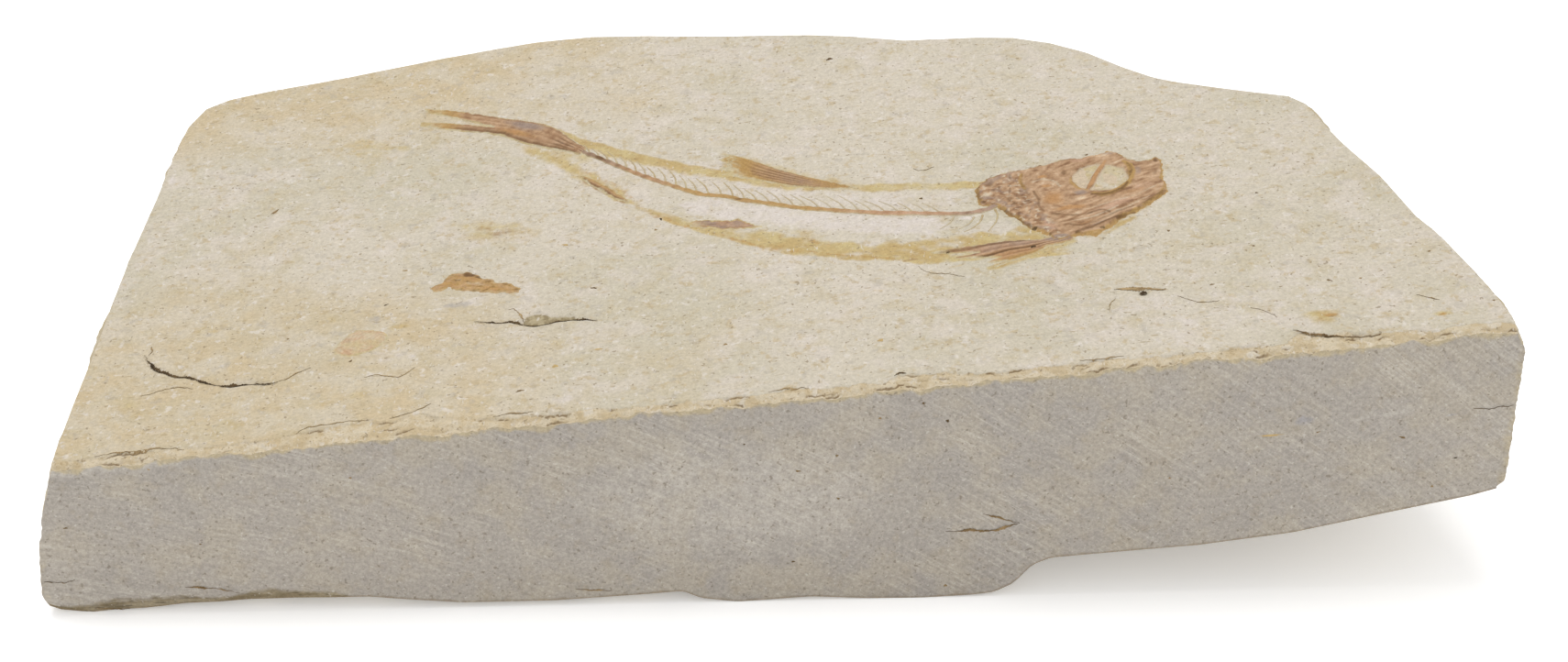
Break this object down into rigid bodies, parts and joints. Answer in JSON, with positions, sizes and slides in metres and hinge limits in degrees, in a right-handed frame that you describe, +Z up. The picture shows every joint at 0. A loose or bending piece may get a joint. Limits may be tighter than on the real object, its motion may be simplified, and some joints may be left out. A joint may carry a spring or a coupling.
{
  "type": "fossil fish slab",
  "caption": "Wedge of split cream limestone with one sawn side, carrying a small flattened fossil fish in low relief.",
  "frame": {"origin": "middle of the slab's footprint, on the surface it rests on", "axes": "+X along the sawn long side, from the thin end under the fish's tail to the thick end beyond its head; +Y from the sawn side to the broken back, so the sawn side faces -Y; +Z up, out of the face that carries the fish"},
  "size_m": [0.1575, 0.0863, 0.0338],
  "materials": {
    "limestone": "dry, fine-grained and dull, cream to pale beige, greyer on the sawn side, with the fish in brown and ochre"
  },
  "bodies": {
    "root": {"slab": "limestone"}
  },
  "joints": []
}
